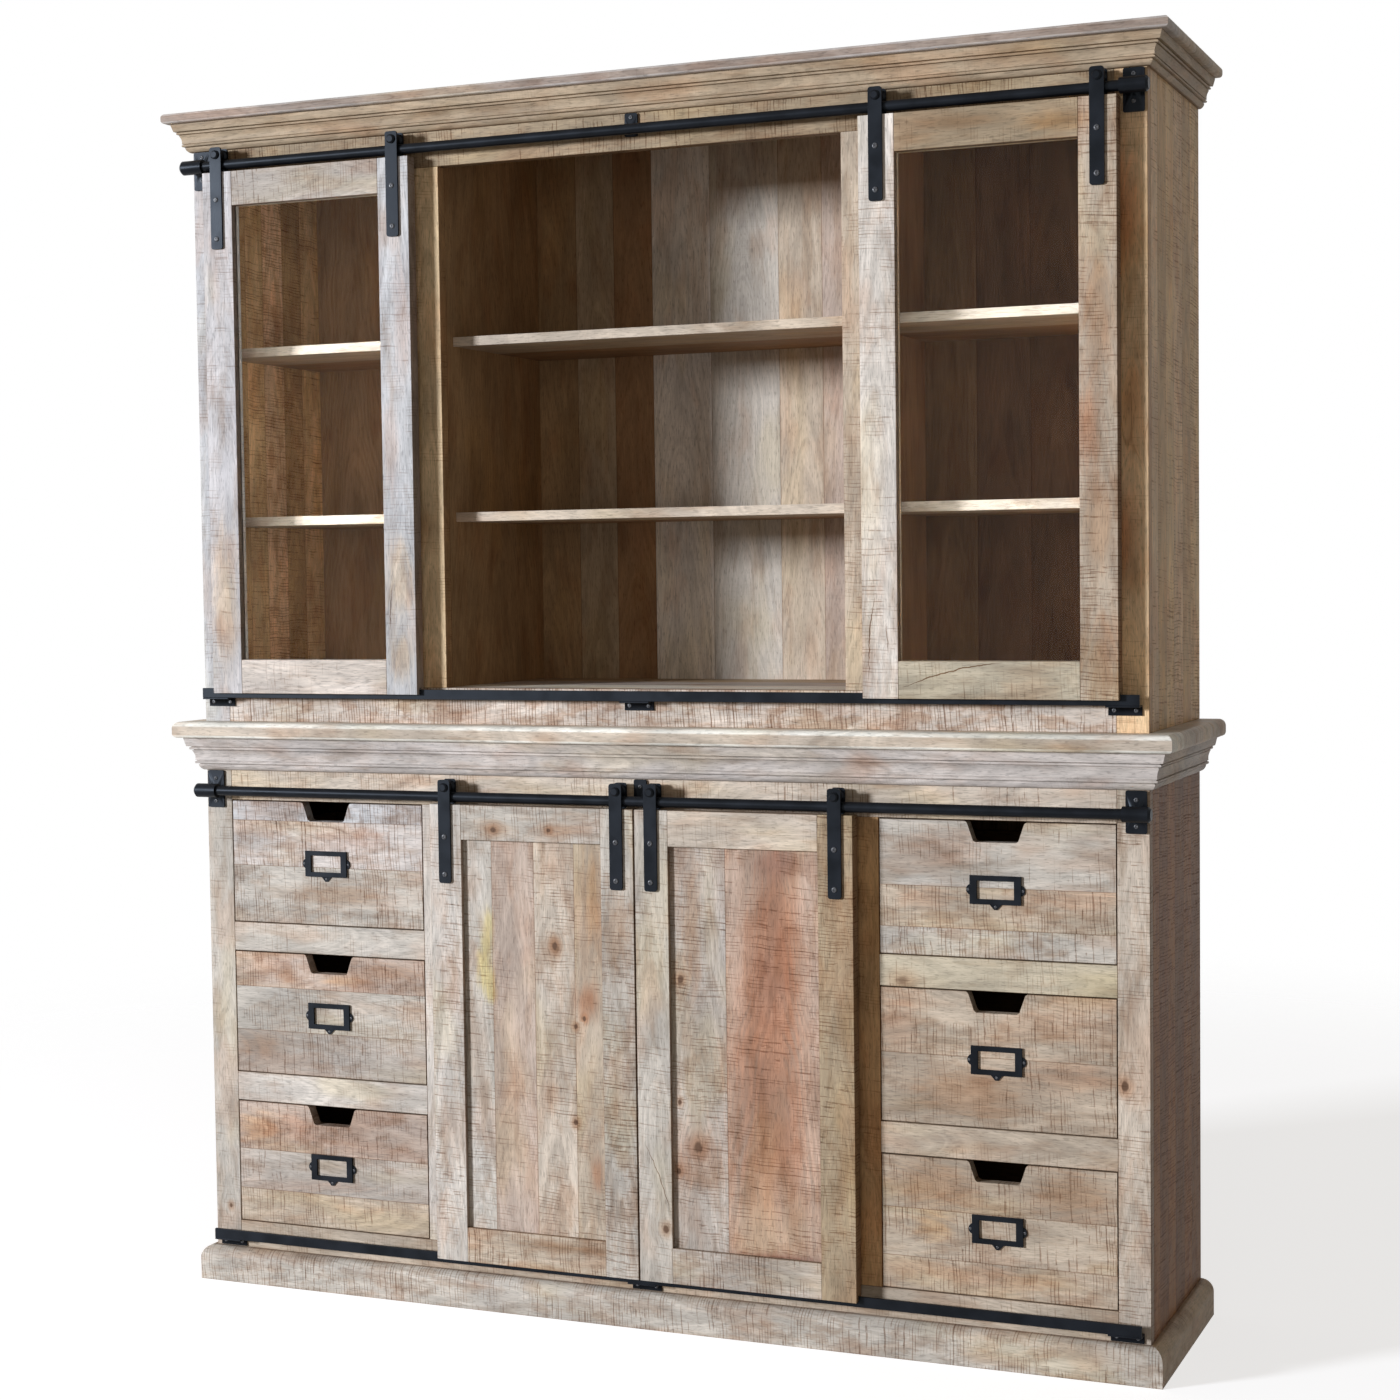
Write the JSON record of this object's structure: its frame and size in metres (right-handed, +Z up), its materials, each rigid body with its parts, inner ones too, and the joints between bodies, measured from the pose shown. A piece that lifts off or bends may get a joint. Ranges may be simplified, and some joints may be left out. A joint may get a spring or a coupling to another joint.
{
  "type": "buffet and hutch",
  "caption": "Rough-sawn wooden buffet with drawers and panelled doors under an open hutch with glazed doors; the doors slide on rollers along iron rails.",
  "frame": {"origin": "on the floor, midway between the two ends and midway between the front of the worktop and the back", "axes": "+Z up, the front faces -Y, +X to the right of someone facing the front"},
  "size_m": [1.892, 0.456, 2.2],
  "materials": {
    "pale_wood": "rough-sawn, matt",
    "brown_wood": "planed, matt",
    "black_iron": "matt black",
    "clear_glass": "clear"
  },
  "bodies": {
    "cabinet": {"plinth": "pale_wood", "buffet_sides": "pale_wood", "buffet_face_frame": "pale_wood", "buffet_partitions": "brown_wood", "buffet_floor": "brown_wood", "buffet_back": "brown_wood", "buffet_top": "pale_wood", "buffet_cornice": "pale_wood", "buffet_shelf": "brown_wood", "drawer_runners": "brown_wood", "hutch_sides": "pale_wood", "hutch_face_frame": "pale_wood", "hutch_partitions": "brown_wood", "hutch_floor": "brown_wood", "hutch_back": "brown_wood", "hutch_top": "pale_wood", "hutch_cornice": "pale_wood", "hutch_shelves": "pale_wood", "door_rails": "black_iron", "rail_brackets": "black_iron", "door_guides": "black_iron"},
    "left_bottom_drawer": {"left_bottom_drawer_front": "pale_wood", "left_bottom_drawer_box": "brown_wood", "left_bottom_drawer_label_holder": "black_iron"},
    "left_middle_drawer": {"left_middle_drawer_front": "pale_wood", "left_middle_drawer_box": "brown_wood", "left_middle_drawer_label_holder": "black_iron"},
    "left_top_drawer": {"left_top_drawer_front": "pale_wood", "left_top_drawer_box": "brown_wood", "left_top_drawer_label_holder": "black_iron"},
    "left_hutch_door": {"left_hutch_door_frame": "pale_wood", "left_hutch_door_glass": "clear_glass", "left_hutch_door_hangers": "black_iron"},
    "left_hutch_door_inner_roller": {"left_hutch_door_inner_roller": "black_iron"},
    "left_hutch_door_outer_roller": {"left_hutch_door_outer_roller": "black_iron"},
    "left_buffet_door": {"left_buffet_door_frame": "pale_wood", "left_buffet_door_panel": "pale_wood", "left_buffet_door_hangers": "black_iron"},
    "left_buffet_door_inner_roller": {"left_buffet_door_inner_roller": "black_iron"},
    "left_buffet_door_outer_roller": {"left_buffet_door_outer_roller": "black_iron"},
    "right_bottom_drawer": {"right_bottom_drawer_front": "pale_wood", "right_bottom_drawer_box": "brown_wood", "right_bottom_drawer_label_holder": "black_iron"},
    "right_middle_drawer": {"right_middle_drawer_front": "pale_wood", "right_middle_drawer_box": "brown_wood", "right_middle_drawer_label_holder": "black_iron"},
    "right_top_drawer": {"right_top_drawer_front": "pale_wood", "right_top_drawer_box": "brown_wood", "right_top_drawer_label_holder": "black_iron"},
    "right_hutch_door": {"right_hutch_door_frame": "pale_wood", "right_hutch_door_glass": "clear_glass", "right_hutch_door_hangers": "black_iron"},
    "right_hutch_door_inner_roller": {"right_hutch_door_inner_roller": "black_iron"},
    "right_hutch_door_outer_roller": {"right_hutch_door_outer_roller": "black_iron"},
    "right_buffet_door": {"right_buffet_door_frame": "pale_wood", "right_buffet_door_panel": "pale_wood", "right_buffet_door_hangers": "black_iron"},
    "right_buffet_door_inner_roller": {"right_buffet_door_inner_roller": "black_iron"},
    "right_buffet_door_outer_roller": {"right_buffet_door_outer_roller": "black_iron"}
  },
  "joints": [
    {"name": "left_bottom_drawer_slide", "type": "slide", "parent": "cabinet", "child": "left_bottom_drawer", "axis": [0, -1, 0], "range_m": [0, 0.28]},
    {"name": "left_middle_drawer_slide", "type": "slide", "parent": "cabinet", "child": "left_middle_drawer", "axis": [0, -1, 0], "range_m": [0, 0.28]},
    {"name": "left_top_drawer_slide", "type": "slide", "parent": "cabinet", "child": "left_top_drawer", "axis": [0, -1, 0], "range_m": [0, 0.28]},
    {"name": "left_hutch_door_slide", "type": "slide", "parent": "cabinet", "child": "left_hutch_door", "axis": [1, 0, 0], "range_m": [0, 0.4225]},
    {"name": "left_hutch_door_inner_roller_spin", "type": "hinge", "parent": "left_hutch_door", "child": "left_hutch_door_inner_roller", "pos_m": [-0.4555, -0.2074, 2.1165], "axis": [0, 1, 0], "continuous": true},
    {"name": "left_hutch_door_outer_roller_spin", "type": "hinge", "parent": "left_hutch_door", "child": "left_hutch_door_outer_roller", "pos_m": [-0.8265, -0.2074, 2.1165], "axis": [0, 1, 0], "continuous": true},
    {"name": "left_buffet_door_slide", "type": "slide", "parent": "cabinet", "child": "left_buffet_door", "axis": [1, 0, 0], "range_m": [-0.4545, 0]},
    {"name": "left_buffet_door_inner_roller_spin", "type": "hinge", "parent": "left_buffet_door", "child": "left_buffet_door_inner_roller", "pos_m": [-0.033, -0.2074, 0.954], "axis": [0, 1, 0], "continuous": true},
    {"name": "left_buffet_door_outer_roller_spin", "type": "hinge", "parent": "left_buffet_door", "child": "left_buffet_door_outer_roller", "pos_m": [-0.372, -0.2074, 0.954], "axis": [0, 1, 0], "continuous": true},
    {"name": "right_bottom_drawer_slide", "type": "slide", "parent": "cabinet", "child": "right_bottom_drawer", "axis": [0, -1, 0], "range_m": [0, 0.28]},
    {"name": "right_middle_drawer_slide", "type": "slide", "parent": "cabinet", "child": "right_middle_drawer", "axis": [0, -1, 0], "range_m": [0, 0.28]},
    {"name": "right_top_drawer_slide", "type": "slide", "parent": "cabinet", "child": "right_top_drawer", "axis": [0, -1, 0], "range_m": [0, 0.28]},
    {"name": "right_hutch_door_slide", "type": "slide", "parent": "cabinet", "child": "right_hutch_door", "axis": [-1, 0, 0], "range_m": [0, 0.4225]},
    {"name": "right_hutch_door_inner_roller_spin", "type": "hinge", "parent": "right_hutch_door", "child": "right_hutch_door_inner_roller", "pos_m": [0.4555, -0.2074, 2.1165], "axis": [0, 1, 0], "continuous": true},
    {"name": "right_hutch_door_outer_roller_spin", "type": "hinge", "parent": "right_hutch_door", "child": "right_hutch_door_outer_roller", "pos_m": [0.8265, -0.2074, 2.1165], "axis": [0, 1, 0], "continuous": true},
    {"name": "right_buffet_door_slide", "type": "slide", "parent": "cabinet", "child": "right_buffet_door", "axis": [-1, 0, 0], "range_m": [-0.4545, 0]},
    {"name": "right_buffet_door_inner_roller_spin", "type": "hinge", "parent": "right_buffet_door", "child": "right_buffet_door_inner_roller", "pos_m": [0.033, -0.2074, 0.954], "axis": [0, 1, 0], "continuous": true},
    {"name": "right_buffet_door_outer_roller_spin", "type": "hinge", "parent": "right_buffet_door", "child": "right_buffet_door_outer_roller", "pos_m": [0.372, -0.2074, 0.954], "axis": [0, 1, 0], "continuous": true}
  ],
  "couplings": [
    {"joint": "left_hutch_door_inner_roller_spin", "follows": "left_hutch_door_slide", "rad_per_m": 117.65},
    {"joint": "left_hutch_door_outer_roller_spin", "follows": "left_hutch_door_slide", "rad_per_m": 117.65},
    {"joint": "left_buffet_door_inner_roller_spin", "follows": "left_buffet_door_slide", "rad_per_m": 117.65},
    {"joint": "left_buffet_door_outer_roller_spin", "follows": "left_buffet_door_slide", "rad_per_m": 117.65},
    {"joint": "right_hutch_door_inner_roller_spin", "follows": "right_hutch_door_slide", "rad_per_m": -117.65},
    {"joint": "right_hutch_door_outer_roller_spin", "follows": "right_hutch_door_slide", "rad_per_m": -117.65},
    {"joint": "right_buffet_door_inner_roller_spin", "follows": "right_buffet_door_slide", "rad_per_m": -117.65},
    {"joint": "right_buffet_door_outer_roller_spin", "follows": "right_buffet_door_slide", "rad_per_m": -117.65}
  ]
}
